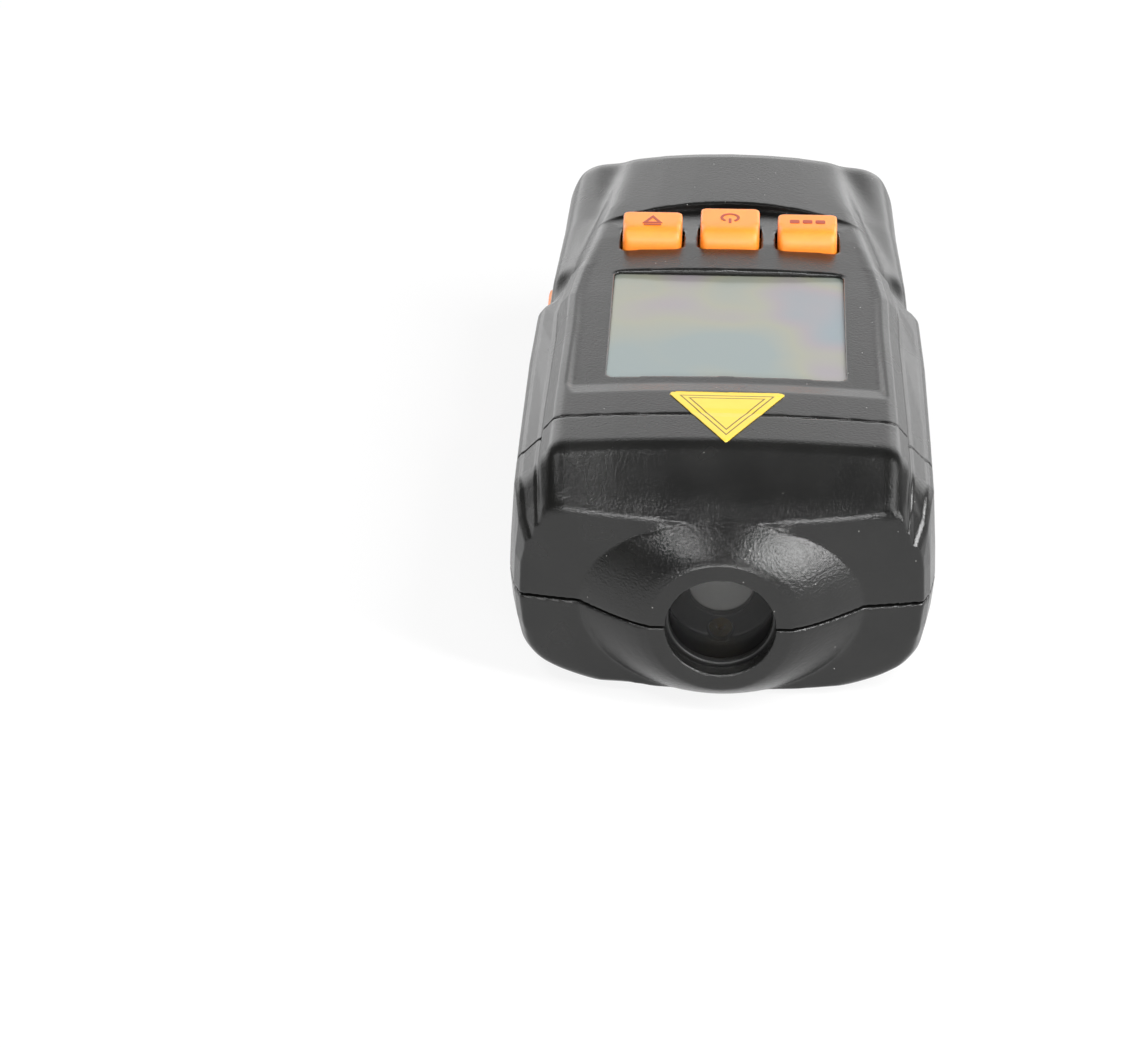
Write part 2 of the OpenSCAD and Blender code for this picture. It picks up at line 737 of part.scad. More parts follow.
module laser_module() {
    color("goldenrod") translate([0, lens_y + seat_t * 0.4, laser_z]) rotate([-90, 0, 0])
        difference() {
            cylinder(h = laser_len, r = laser_r);
            translate([0, 0, -1]) cylinder(h = 2, r = laser_r * 0.4);
        }
}

sensor_y = barrel_y + barrel_len + fit_gap;
module sensor_board() {
    color("darkgreen") translate([0, sensor_y + board_t, axis_z]) rotate([90, 0, 0])
        rounded_plate(2 * barrel_r - 1, 2 * barrel_r - 4, board_t, 1);
}

module photo_sensor() {
    color("black") translate([0, sensor_y, axis_z]) rotate([90, 0, 0]) {
        rounded_plate(5, 5, 2, 0.4);
        cylinder(h = 3.4, r = 1.5, $fn = 32);
    }
}

// Cells lie side by side, the middle one turned round
module cell(side) {
    flip = side == 0 ? -1 : 1;
    mid = bay_y0 + (cell_len + contact_room) / 2;
    barrel = cell_len - cell_nub;
    color("silver") translate([side * (cell_d + cell_gap), mid + flip * (contact_room / 2 - 0.7), cell_z])
        rotate([-90 * flip, 0, 0]) translate([0, 0, -cell_len / 2]) {
            cylinder(h = barrel, r = cell_d / 2);
            cylinder(h = cell_len, r = 1.9, $fn = 32);
        }
}
module battery_left() { cell(-1); }
module battery_middle() { cell(0); }
module battery_right() { cell(1); }

function end_y(side, flip) = (side == 0 ? -flip : flip) > 0 ? bay_y1 - contact_t / 2 : bay_y0 + contact_t / 2;

module battery_contacts() {
    color("silver") for (side = [-1, 0, 1], flip = [-1, 1])
        translate([side * (cell_d + cell_gap), end_y(side, flip), cell_z])
            rotate([90, 0, 0]) translate([0, 0, -contact_t / 2]) rounded_plate(8.4, 8.4, contact_t, 0.8);
}

// Conical springs pressed flat between a contact plate and a cell's foot
spring_room = contact_room / 2 + 0.7 + contact_room / 2 - contact_t - 0.2 - 0.7 * 2;
module battery_springs() {
    turns = floor(spring_room / (spring_wire * 0.85));
    color("silver") for (side = [-1, 0, 1]) {
        flip = side == 0 ? 1 : -1;
        base = flip > 0 ? bay_y1 - contact_t : bay_y0 + contact_t;
        translate([side * (cell_d + cell_gap), base, cell_z]) rotate([90 * flip, 0, 0])
            for (k = [0 : turns - 1])
                translate([0, 0, spring_wire / 2 + k * spring_wire * 0.85]) rotate_extrude($fn = 32)
                    translate([3.4 - k * 0.3, 0]) circle(spring_wire / 2, $fn = 16);
    }
}

cross_w = 0.6;
cross_depth = 0.7;
cross_len = 1.2 * head_r;
module case_screws() {
    color("silver") for (p = screw_places) translate([p[0] * p[2], p[1], floor_t]) {
        difference() {
            cylinder(h = head_t, r = head_r, $fn = 32);
            for (a = [0, 90]) rotate([0, 0, a]) translate([-cross_len / 2, -cross_w / 2, -1])
                cube([cross_len, cross_w, cross_depth + 1]);
        }
        cylinder(h = parting_z + screw_bite - 1 - floor_t, r = screw_r - 0.05, $fn = 32);
    }
}

top_cover();
nose_cap();
rear_cover();
battery_door();
display_window();
display_panel();
display_frame();
backlight_panel();
contact_strips();
main_board();
control_chip();
key_switches();
side_switch();
light_key();
power_key();
memory_key();
side_key();
lens_barrel();
lens_window();
collecting_lens();
laser_module();
sensor_board();
photo_sensor();
battery_left();
battery_middle();
battery_right();
battery_springs();
battery_contacts();
case_screws();
board_screws();
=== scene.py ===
from math import cos, pi, radians, sin, sqrt

import bpy
from mathutils import Matrix, Vector


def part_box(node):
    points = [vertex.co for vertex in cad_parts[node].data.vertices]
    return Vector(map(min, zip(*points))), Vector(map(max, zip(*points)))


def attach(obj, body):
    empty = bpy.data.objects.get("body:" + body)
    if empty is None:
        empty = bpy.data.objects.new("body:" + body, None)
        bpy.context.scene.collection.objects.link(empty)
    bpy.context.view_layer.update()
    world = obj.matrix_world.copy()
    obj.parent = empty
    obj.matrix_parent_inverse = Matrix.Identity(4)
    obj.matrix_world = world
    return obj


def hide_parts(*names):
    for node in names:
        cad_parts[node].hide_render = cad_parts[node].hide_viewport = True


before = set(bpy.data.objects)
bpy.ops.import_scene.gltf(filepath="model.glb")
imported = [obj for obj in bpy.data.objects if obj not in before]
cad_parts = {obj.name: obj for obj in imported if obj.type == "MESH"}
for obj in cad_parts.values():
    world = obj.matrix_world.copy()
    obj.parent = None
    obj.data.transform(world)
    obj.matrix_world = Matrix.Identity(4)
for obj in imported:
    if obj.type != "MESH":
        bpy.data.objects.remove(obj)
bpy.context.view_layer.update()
mm = 0.001
scene = bpy.context.scene
scene.view_settings.view_transform = "Standard"
print("frame loaded:", len(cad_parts), "nodes")


# small helpers for working on one object at a time
def pickOnly(piece):
    if bpy.context.mode != "OBJECT":
        bpy.ops.object.mode_set(mode="OBJECT")
    bpy.ops.object.select_all(action="DESELECT")
    piece.select_set(True)
    bpy.context.view_layer.objects.active = piece


def editAll(piece):
    pickOnly(piece)
    bpy.ops.object.mode_set(mode="EDIT")
    bpy.ops.mesh.select_all(action="SELECT")


def leaveEdit():
    bpy.ops.object.mode_set(mode="OBJECT")


def applyModifier(piece, kind, **settings):
    pickOnly(piece)
    modifier = piece.modifiers.new(kind.lower(), kind)
    for key, value in settings.items():
        setattr(modifier, key, value)
    bpy.ops.object.modifier_apply(modifier=modifier.name)


def wear(piece, *finishes):
    piece.data.materials.clear()
    for finish in finishes:
        piece.data.materials.append(finish)


# what all moulded copies share: weld distance, share of each smoothing step, angle shaded smooth
mouldLook = {"weld": 0.002 * mm, "ease": 0.5, "smooth": 60}


# rounder edges inside one box and its mirror image, in millimetres, fading at the box's sides
def softenBox(piece, spot, low, high, steps, fade):
    group = piece.vertex_groups.new(name=spot)
    for vertex in piece.data.vertices:
        place = (abs(vertex.co.x) / mm, vertex.co.y / mm, vertex.co.z / mm)
        inside = min(min(place[axis] - low[axis], high[axis] - place[axis]) for axis in range(3))
        if inside > 0:
            group.add([vertex.index], min(1.0, inside / fade), "REPLACE")
    applyModifier(piece, "SMOOTH", factor=mouldLook["ease"], iterations=steps, vertex_group=spot)


# a copy of a moulded CAD piece with every edge softened as a mould leaves it
def mouldedCopy(node, name, look):
    pickOnly(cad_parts[node])
    bpy.ops.object.duplicate()
    piece = bpy.context.object
    piece.name = name
    editAll(piece)
    bpy.ops.mesh.remove_doubles(threshold=mouldLook["weld"])
    leaveEdit()
    applyModifier(piece, "REMESH", mode="VOXEL", voxel_size=look["grid"], use_smooth_shade=True)
    applyModifier(piece, "SMOOTH", factor=mouldLook["ease"], iterations=look["soften"])
    for spot, (low, high, steps, fade) in look.get("rounds", {}).items():
        softenBox(piece, spot, low, high, steps, fade)
    applyModifier(piece, "DECIMATE", ratio=look["keep"])
    bpy.ops.object.shade_smooth_by_angle(angle=radians(mouldLook["smooth"]))
    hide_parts(node)
    print("moulded copy:", name, len(piece.data.polygons), "faces")
    return piece


# materials: every pattern reads Object coordinates
def startFinish(name, colour, roughness, metallic=0.0):
    finish = bpy.data.materials.new(name)
    finish.use_nodes = True
    nodes = finish.node_tree.nodes
    shader = nodes["Principled BSDF"]
    shader.inputs["Base Color"].default_value = (*colour, 1)
    shader.inputs["Roughness"].default_value = roughness
    shader.inputs["Metallic"].default_value = metallic
    coords = nodes.new("ShaderNodeTexCoord")
    return finish, nodes, finish.node_tree.links, shader, coords.outputs["Object"]


def noiseOf(nodes, links, place, scale, detail=2.0, rough=0.5):
    noise = nodes.new("ShaderNodeTexNoise")
    noise.inputs["Scale"].default_value = scale
    noise.inputs["Detail"].default_value = detail
    noise.inputs["Roughness"].default_value = rough
    links.new(place, noise.inputs["Vector"])
    return noise.outputs["Fac"]


def rangeOf(nodes, links, value, low, high, toLow, toHigh):
    remap = nodes.new("ShaderNodeMapRange")
    remap.inputs["From Min"].default_value = low
    remap.inputs["From Max"].default_value = high
    remap.inputs["To Min"].default_value = toLow
    remap.inputs["To Max"].default_value = toHigh
    links.new(value, remap.inputs["Value"])
    return remap.outputs["Result"]


# one step of arithmetic; each value is a socket or a number
def mathOf(nodes, links, operation, *values):
    step = nodes.new("ShaderNodeMath")
    step.operation = operation
    for socket, value in zip(step.inputs, values):
        if hasattr(value, "is_output"):
            links.new(value, socket)
        else:
            socket.default_value = value
    return step.outputs[0]


def blendOf(nodes, links, factor, first, second):
    mix = nodes.new("ShaderNodeMix")
    mix.data_type = "RGBA"
    links.new(factor, mix.inputs["Factor"])
    for socket, colour in ((mix.inputs[6], first), (mix.inputs[7], second)):  # the colour sockets
        if hasattr(colour, "is_output"):
            links.new(colour, socket)
        else:
            socket.default_value = (*colour, 1)
    return mix.outputs[2]


def bumpOn(nodes, links, shader, height, depth, strength=1.0):
    bump = nodes.new("ShaderNodeBump")
    bump.inputs["Distance"].default_value = depth
    bump.inputs["Strength"].default_value = strength
    links.new(height, bump.inputs["Height"])
    links.new(bump.outputs["Normal"], shader.inputs["Normal"])
    return bump


# 1 where a surface is seen straight, in a reflection or through glass, 0 where it only lights others
def seenRays(nodes, links):
    rays = nodes.new("ShaderNodeLightPath")
    seen = mathOf(nodes, links, "MAXIMUM", rays.outputs["Is Camera Ray"], rays.outputs["Is Glossy Ray"])
    return mathOf(nodes, links, "MAXIMUM", seen, rays.outputs["Is Transmission Ray"])


shellLook = {
    "colour": (0.0055, 0.0056, 0.0054), "worn": (0.0085, 0.0085, 0.008), "mottle": 90,
    "wornFrom": 0.35, "wornTo": 0.7,
    # the lower gloss that paints shade on the arched step and the nose panel's sides is shadedGloss
    "roughLow": 0.22, "roughHigh": 0.29, "roughFrom": 0.3, "roughTo": 0.7, "gloss": 0.5, "shadedGloss": 0.1,
    "dust": (0.3, 0.3, 0.285), "dustCells": 470, "dustSize": 0.04, "dustCore": 0.6,
    "grain": 2900, "grainRough": 0.55, "grainDepth": 0.08 * mm, "grainFaint": 0.45,
    "grainNose": -48.6 * mm, "grainTail": -46.8 * mm}
# where shade is painted by a lower gloss, each limit with its fade: the arched step behind the keys as
# shade in its recess, then the sides of the nose panel, where it also paints out a highlight stripe
paintedShadeLook = {
    "arcY": -1.8 * mm, "arcInside": (30.8 * mm, 34.5 * mm), "arcEdge": (35.1 * mm, 35.4 * mm),
    "arcBack": (26.2 * mm, 27.5 * mm), "arcTop": (30 * mm, 31 * mm),
    "rimIn": (20.8 * mm, 21.8 * mm), "rimOut": (23.2 * mm, 24 * mm), "rimTop": (27 * mm, 28.4 * mm),
    "rimBack": (-40.4 * mm, -41.6 * mm), "rimFront": (-49.2 * mm, -48.4 * mm)}


# gloss of the shell, lowered to paint shade on the arched step behind the keys and along the nose panel's
# sides
def paintedShadeGloss(nodes, links, place, split):
    flat = nodes.new("ShaderNodeVectorMath")
    flat.operation = "MULTIPLY"
    flat.inputs[1].default_value = (1, 1, 0)
    links.new(place, flat.inputs[0])
    reach = nodes.new("ShaderNodeVectorMath")
    reach.operation = "DISTANCE"
    reach.inputs[1].default_value = (0, paintedShadeLook["arcY"], 0)
    links.new(flat.outputs[0], reach.inputs[0])
    distance = reach.outputs["Value"]
    aside = mathOf(nodes, links, "ABSOLUTE", split.outputs["X"])
    along, height = split.outputs["Y"], split.outputs["Z"]
    areas = ((("arcInside", distance, 0, 1), ("arcEdge", distance, 1, 0), ("arcBack", along, 0, 1),
              ("arcTop", height, 0, 1)),
             (("rimIn", aside, 0, 1), ("rimOut", aside, 1, 0), ("rimTop", height, 0, 1),
              ("rimBack", along, 0, 1), ("rimFront", along, 0, 1)))
    shares = []
    for limits in areas:
        share = 1.0
        for limit, measure, before, after in limits:
            step = rangeOf(nodes, links, measure, *paintedShadeLook[limit], before, after)
            share = mathOf(nodes, links, "MULTIPLY", share, step)
        shares.append(share)
    # share of painted shade, taken out of the gloss
    shadeShare = mathOf(nodes, links, "ADD", *shares)
    return rangeOf(nodes, links, shadeShare, 0, 1, shellLook["gloss"], shellLook["shadedGloss"])


def shellPlastic():
    finish, nodes, links, shader, place = startFinish("shellPlastic", shellLook["colour"],
                                                      shellLook["roughHigh"])
    mottle = noiseOf(nodes, links, place, shellLook["mottle"], 3)
    wornShare = rangeOf(nodes, links, mottle, shellLook["wornFrom"], shellLook["wornTo"], 0, 1)
    base = blendOf(nodes, links, wornShare, shellLook["colour"], shellLook["worn"])
    cells = nodes.new("ShaderNodeTexVoronoi")  # sparse pale dust
    cells.inputs["Scale"].default_value = shellLook["dustCells"]
    links.new(place, cells.inputs["Vector"])
    size = shellLook["dustSize"]
    speck = rangeOf(nodes, links, cells.outputs["Distance"], size * shellLook["dustCore"], size, 1, 0)
    links.new(blendOf(nodes, links, speck, base, shellLook["dust"]), shader.inputs["Base Color"])
    grain = noiseOf(nodes, links, place, shellLook["grain"], 3, shellLook["grainRough"])
    rough = rangeOf(nodes, links, mottle, shellLook["roughFrom"], shellLook["roughTo"],
                    shellLook["roughLow"], shellLook["roughHigh"])
    links.new(rough, shader.inputs["Roughness"])
    split = nodes.new("ShaderNodeSeparateXYZ")
    links.new(place, split.inputs[0])
    # specular level lowered where shade is painted
    links.new(paintedShadeGloss(nodes, links, place, split), shader.inputs["Specular IOR Level"])
    # the grain is deepest at the lens end
    depth = rangeOf(nodes, links, split.outputs["Y"], shellLook["grainNose"], shellLook["grainTail"],
                    1, shellLook["grainFaint"])
    links.new(depth, bumpOn(nodes, links, shader, grain, shellLook["grainDepth"]).inputs["Strength"])
    return finish


keyLook = {"colour": (0.93, 0.215, 0.003), "pale": (0.98, 0.265, 0.006), "cloud": 300, "rough": 0.5,
           "glow": 0.25, "glowTint": (1.0, 0.35, 0.1), "glowReach": 0.8 * mm,
           "coat": 0.9, "coatRough": 0.55, "grain": 4000, "grainDepth": 0.006 * mm}


def keyPlastic():
    finish, nodes, links, shader, place = startFinish("keyPlastic", keyLook["colour"], keyLook["rough"])
    cloud = noiseOf(nodes, links, place, keyLook["cloud"], 2)
    links.new(blendOf(nodes, links, cloud, keyLook["colour"], keyLook["pale"]), shader.inputs["Base Color"])
    shader.inputs["Subsurface Weight"].default_value = keyLook["glow"]
    shader.inputs["Subsurface Radius"].default_value = keyLook["glowTint"]
    shader.inputs["Subsurface Scale"].default_value = keyLook["glowReach"]
    shader.inputs["Coat Weight"].default_value = keyLook["coat"]
    shader.inputs["Coat Roughness"].default_value = keyLook["coatRough"]
    bumpOn(nodes, links, shader, noiseOf(nodes, links, place, keyLook["grain"], 2), keyLook["grainDepth"])
    return finish


filmLook = {"grey": (0.19, 0.212, 0.21), "rough": 0.28, "bands": 34, "bandRough": 0.55,
            "coat": 0.2, "coatRough": 0.05,
            "tints": ((0.0, (0.166, 0.204, 0.212)), (0.38, (0.175, 0.213, 0.21)),
                      (0.47, (0.225, 0.228, 0.18)), (0.53, (0.218, 0.198, 0.212)),
                      (0.60, (0.166, 0.204, 0.228)), (0.68, (0.186, 0.228, 0.203)),
                      (1.0, (0.194, 0.213, 0.21)))}


def filmPlate():
    finish, nodes, links, shader, place = startFinish("filmPlate", filmLook["grey"], filmLook["rough"])
    field = noiseOf(nodes, links, place, filmLook["bands"], 2, filmLook["bandRough"])
    ramp = nodes.new("ShaderNodeValToRGB")  # faint pastel bands of a clear film
    stops = ramp.color_ramp.elements
    while len(stops) < len(filmLook["tints"]):
        stops.new(0.5)  # placed below
    for stop, (spot, tint) in zip(stops, filmLook["tints"]):
        stop.position = spot
        stop.color = (*tint, 1)
    links.new(field, ramp.inputs["Fac"])
    links.new(ramp.outputs["Color"], shader.inputs["Base Color"])
    shader.inputs["Coat Weight"].default_value = filmLook["coat"]
    shader.inputs["Coat Roughness"].default_value = filmLook["coatRough"]
    return finish


cloudSpan = (0.3, 0.7)  # the part of a noise that is used
cloudShare = 0.15  # how far the roughness wanders


# a finish with a fine grain for the pieces inside the case
def innerFinish(name, colour, other, rough, metallic=0.0, spots=200, grain=2500, depth=0.01 * mm):
    finish, nodes, links, shader, place = startFinish(name, colour, rough, metallic)
    cloud = noiseOf(nodes, links, place, spots, 3)
    links.new(blendOf(nodes, links, cloud, colour, other), shader.inputs["Base Color"])
    uneven = rangeOf(nodes, links, cloud, *cloudSpan, rough * (1 - cloudShare), rough * (1 + cloudShare))
    links.new(uneven, shader.inputs["Roughness"])
    bumpOn(nodes, links, shader, noiseOf(nodes, links, place, grain, 2), depth)
    return finish


boardLook = {"green": (0.015, 0.13, 0.05, 1), "paler": (0.02, 0.15, 0.055, 1), "run": (0.05, 0.26, 0.09, 1),
             "base": (0.02, 0.16, 0.06), "rough": 0.3, "fields": 260,
             "runWidth": 0.03, "runDepth": 0.02 * mm}


def boardLacquer():
    finish, nodes, links, shader, place = startFinish("boardLacquer", boardLook["base"], boardLook["rough"])
    tracks = nodes.new("ShaderNodeTexBrick")  # copper runs under the lacquer
    tracks.inputs["Scale"].default_value = boardLook["fields"]
    tracks.inputs["Mortar Size"].default_value = boardLook["runWidth"]
    tracks.inputs["Color1"].default_value = boardLook["green"]
    tracks.inputs["Color2"].default_value = boardLook["paler"]
    tracks.inputs["Mortar"].default_value = boardLook["run"]
    links.new(place, tracks.inputs["Vector"])
    links.new(tracks.outputs["Color"], shader.inputs["Base Color"])
    bumpOn(nodes, links, shader, tracks.outputs["Fac"], boardLook["runDepth"])
    return finish


windowLook = {"tint": (0.012, 0.012, 0.012), "alpha": 0.25, "haze": 150, "rough": 0.06,
              "roughLeast": 0.042, "roughMost": 0.096}


def darkPane():
    finish, nodes, links, shader, place = startFinish("darkWindow", windowLook["tint"], windowLook["rough"])
    shader.inputs["Alpha"].default_value = windowLook["alpha"]
    haze = noiseOf(nodes, links, place, windowLook["haze"], 2)
    uneven = rangeOf(nodes, links, haze, *cloudSpan, windowLook["roughLeast"], windowLook["roughMost"])
    links.new(uneven, shader.inputs["Roughness"])
    return finish


shell = shellPlastic()
orange = keyPlastic()
film = filmPlate()
board = boardLacquer()
chip = innerFinish("chipBlack", (0.02, 0.02, 0.02), (0.03, 0.03, 0.03), 0.5)
barrel = innerFinish("barrelBlack", (0.008, 0.008, 0.008), (0.012, 0.012, 0.012), 0.4, depth=0.002 * mm)
panelGlass = innerFinish("panelGlass", (0.42, 0.45, 0.44), (0.48, 0.5, 0.49), 0.2)
whitePlastic = innerFinish("whitePlastic", (0.75, 0.75, 0.72), (0.8, 0.8, 0.78), 0.5)
lightGuide = innerFinish("lightGuide", (0.8, 0.82, 0.77), (0.86, 0.88, 0.83), 0.25)
contactRubber = innerFinish("contactRubber", (0.55, 0.2, 0.18), (0.65, 0.3, 0.28), 0.7, spots=900)
brass = innerFinish("turnedBrass", (0.1, 0.075, 0.035), (0.13, 0.1, 0.05), 0.35, 1.0, depth=0.002 * mm)
steel = innerFinish("springSteel", (0.5, 0.5, 0.5), (0.62, 0.62, 0.62), 0.3, 1.0)
sleeve = innerFinish("cellSleeve", (0.3, 0.31, 0.32), (0.36, 0.37, 0.38), 0.35, spots=60)
darkWindow = darkPane()
lensGlass = innerFinish("lensGlass", (0.28, 0.28, 0.27), (0.32, 0.32, 0.31), 0.2, depth=0.001 * mm)
print("finishes made")

innerFinishes = {
    "display_panel": panelGlass, "display_frame": whitePlastic, "backlight_panel": lightGuide,
    "contact_strips": contactRubber, "main_board": board, "control_chip": chip, "key_switches": chip,
    "side_switch": chip, "lens_window": darkWindow, "collecting_lens": lensGlass,
    "laser_module": brass, "sensor_board": board, "photo_sensor": chip, "battery_left": sleeve,
    "battery_middle": sleeve, "battery_right": sleeve, "battery_springs": steel, "battery_contacts": steel,
    "case_screws": steel, "board_screws": steel, "display_window": film}
for node, finish in innerFinishes.items():
    wear(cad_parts[node], finish)

# each moulded copy: its grid, its smoothing steps, the share of faces kept, and boxes that are rounded
# more, each with two corners, smoothing steps and fade
doorLook = {"grid": 0.2 * mm, "soften": 5, "keep": 0.25}
topLook = {"grid": 0.25 * mm, "soften": 4, "keep": 0.4,
           "rounds": {"tailShoulder": ((19.2, 13, 18), (35, 61, 45), 110, 2.5),
                      "tailCorner": ((10.5, 33, 18), (35, 61, 45), 110, 3)}}
noseLook = {"grid": 0.2 * mm, "soften": 3, "keep": 0.55,
            "rounds": {"frontEdge": ((7, -51.2, 25.2), (24.8, -45.6, 31.6), 130, 1.0),
                       "panelEdge": ((19.2, -50, 26), (25, -33.9, 37), 60, 1.5)}}
rearLook = {"grid": 0.3 * mm, "soften": 3, "keep": 0.3,
            "rounds": {"baseEdge": ((16, -53, -2), (33, 59, 9), 60, 1.5)}}
buttonLook = {"grid": 0.16 * mm, "soften": 22, "keep": 0.5,
              "rounds": {"crown": ((-3, 15, 33.6), (28, 21.8, 41), 130, 1)}}
barrelLook = {"grid": 0.16 * mm, "soften": 5, "keep": 0.4}
covers = {"top_cover": ("topShell", topLook), "nose_cap": ("noseShell", noseLook),
          "rear_cover": ("rearShell", rearLook), "battery_door": ("doorShell", doorLook)}
buttons = {"light_key": "lightButton", "power_key": "powerButton",
           "memory_key": "memoryButton", "side_key": "sideButton"}
made = {}
for node, (name, look) in covers.items():
    made[node] = mouldedCopy(node, name, look)
    wear(made[node], shell)
    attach(made[node], "battery_door" if node == "battery_door" else "housing")
made["lens_barrel"] = mouldedCopy("lens_barrel", "barrelTube", barrelLook)
wear(made["lens_barrel"], barrel)
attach(made["lens_barrel"], "housing")
for node, name in buttons.items():
    made[node] = mouldedCopy(node, name, buttonLook)
    wear(made[node], orange)
    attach(made[node], node)

stickerLook = {"side": 16.4 * mm, "tallness": 0.866, "corner": 1.2 * mm, "middleX": 0.2 * mm,
               "baseY": -27.5 * mm, "above": 40 * mm, "lift": 0.03 * mm, "thick": 0.1 * mm,
               "margin": 0.95 * mm, "line": 0.22 * mm, "space": 0.5 * mm, "cutEvery": 1.1 * mm,
               "yellow": (0.68, 0.475, 0.04), "pale": (0.73, 0.53, 0.06), "ink": (0.16, 0.11, 0.015),
               "rough": 0.35, "cloud": 500, "grain": 900, "grainDepth": 0.008 * mm}
closeBy = 0.01 * mm  # points nearer than this are one point


def stickerPaper(name, colour, other):
    finish, nodes, links, shader, place = startFinish(name, colour, stickerLook["rough"])
    cloud = noiseOf(nodes, links, place, stickerLook["cloud"], 3)
    links.new(blendOf(nodes, links, cloud, colour, other), shader.inputs["Base Color"])
    grain = noiseOf(nodes, links, place, stickerLook["grain"], 2)
    bumpOn(nodes, links, shader, grain, stickerLook["grainDepth"])
    return finish


# plain yellow triangle laid over the seam, its point towards the lens
def yellowSticker():
    look = stickerLook
    bpy.ops.object.select_all(action="DESELECT")
    height = look["side"] * look["tallness"]
    middle = (look["middleX"], look["baseY"] - height / 3, look["above"])
    bpy.ops.mesh.primitive_circle_add(vertices=3, radius=height * 2 / 3, fill_type="NGON",
                                      rotation=(0, 0, pi), location=middle)
    piece = bpy.context.object
    piece.name = "yellowSticker"
    bpy.ops.object.transform_apply(location=True, rotation=True, scale=True)
    wear(piece, stickerPaper("stickerYellow", look["yellow"], look["pale"]),
         stickerPaper("stickerLine", look["ink"], look["ink"]))
    corners = [vertex.co.copy() for vertex in piece.data.vertices]
    editAll(piece)
    for width, inside in ((look["margin"], 1), (look["line"], 0), (look["space"], 1), (look["line"], 0)):
        bpy.ops.mesh.inset(thickness=width, use_even_offset=True)
        piece.active_material_index = inside
        bpy.ops.object.material_slot_assign()
    leaveEdit()
    editAll(piece)
    bpy.ops.mesh.select_mode(type="VERT")
    bpy.ops.mesh.select_all(action="DESELECT")
    leaveEdit()
    for vertex in piece.data.vertices:
        vertex.select = any((vertex.co - corner).length < closeBy for corner in corners)
    bpy.ops.object.mode_set(mode="EDIT")
    bpy.ops.mesh.bevel(offset=look["corner"], segments=5, affect="VERTICES")
    count = int(height / look["cutEvery"])
    for step in range(1, count):  # cuts across, so that it can follow the surface
        bpy.ops.mesh.select_all(action="SELECT")
        bpy.ops.mesh.bisect(plane_co=(0, look["baseY"] - height * step / count, 0), plane_no=(0, 1, 0))
    leaveEdit()
    applyModifier(piece, "SHRINKWRAP", wrap_method="PROJECT", use_project_z=True,
                  use_negative_direction=True, use_positive_direction=False, offset=look["lift"],
                  target=made["top_cover"], auxiliary_target=made["nose_cap"])
    applyModifier(piece, "SOLIDIFY", thickness=look["thick"], offset=1.0)
    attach(piece, "housing")
    print("sticker laid:", len(piece.data.polygons), "faces")


signLook = {"thick": 0.05 * mm, "lift": 0.02 * mm, "stroke": 0.42 * mm, "rounding": 0.25,
            "ink": (0.30, 0.035, 0.012), "other": (0.36, 0.05, 0.02), "rough": 0.45}


def signStart(x, y, z, sides, radius, turn=0.0):
    bpy.ops.object.select_all(action="DESELECT")
    bpy.ops.mesh.primitive_circle_add(vertices=sides, radius=radius, fill_type="NGON",
                                      rotation=(0, 0, turn), location=(x, y, z))
    bpy.ops.object.transform_apply(location=True, rotation=True, scale=True)
    return bpy.context.object


def outlineOnly(piece, stroke):
    editAll(piece)
    bpy.ops.mesh.inset(thickness=stroke, use_even_offset=True)
    bpy.ops.mesh.delete(type="FACE")
    leaveEdit()


def signBar(x, y, z, width, length):
    piece = signStart(x, y, z, 4, sqrt(0.5), pi / 4)  # a square of side 1, drawn out below
    editAll(piece)
    bpy.ops.transform.resize(value=(width, length, 1), center_override=(x, y, z))
    bpy.ops.mesh.bevel(offset=min(width, length) * signLook["rounding"], segments=3, affect="VERTICES")
    leaveEdit()
    return piece


def finishSign(name, parts, node):
    bpy.ops.object.select_all(action="DESELECT")
    for part in parts:
        part.select_set(True)
    bpy.context.view_layer.objects.active = parts[0]
    if len(parts) > 1:
        bpy.ops.object.join()
    piece = bpy.context.object
    piece.name = name
    applyModifier(piece, "SOLIDIFY", thickness=signLook["thick"], offset=1.0)
    wear(piece, signInk)
    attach(piece, node)


# the middle of a key's sign, a way from the key's far end
def signPlace(node, fromEnd):
    low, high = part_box(node)
    return (low[0] + high[0]) / 2, high[1] - fromEnd, high[2] + signLook["lift"]


lampLook = {"fromEnd": 4.0 * mm, "shade": 1.75 * mm, "footDown": 1.35 * mm, "footWide": 2.6 * mm,
            "footThick": 0.4 * mm}


def lampSign():
    x, y, z = signPlace("light_key", lampLook["fromEnd"])
    shade = signStart(x, y, z, 3, lampLook["shade"])
    outlineOnly(shade, signLook["stroke"])
    foot = signBar(x, y - lampLook["footDown"], z, lampLook["footWide"], lampLook["footThick"])
    finishSign("lampSign", [shade, foot], "light_key")


powerLook = {"fromEnd": 4.2 * mm, "ring": 1.45 * mm, "sides": 32, "gapDown": 0.9 * mm, "gapHalf": 0.6 * mm,
             "barDown": 1.05 * mm, "barLong": 1.5 * mm}


def powerSign():
    x, y, z = signPlace("power_key", powerLook["fromEnd"])
    ring = signStart(x, y, z, powerLook["sides"], powerLook["ring"])
    outlineOnly(ring, signLook["stroke"])
    editAll(ring)
    bpy.ops.mesh.select_all(action="DESELECT")
    leaveEdit()
    for face in ring.data.polygons:  # the ring's opening, under the bar
        low = face.center.y < y - powerLook["gapDown"]
        face.select = low and abs(face.center.x - x) < powerLook["gapHalf"]
    bpy.ops.object.mode_set(mode="EDIT")
    bpy.ops.mesh.delete(type="FACE")
    leaveEdit()
    bar = signBar(x, y - powerLook["barDown"], z, signLook["stroke"], powerLook["barLong"])
    finishSign("powerSign", [ring, bar], "power_key")


blockLook = {"fromEnd": 3.6 * mm, "apart": 1.9 * mm, "wide": 1.45 * mm, "long": 1.1 * mm}


def memorySign():
    x, y, z = signPlace("memory_key", blockLook["fromEnd"])
    blocks = []
    for shift in (-1, 0, 1):
        blocks.append(signBar(x + shift * blockLook["apart"], y, z, blockLook["wide"], blockLook["long"]))
    finishSign("memorySign", blocks, "memory_key")


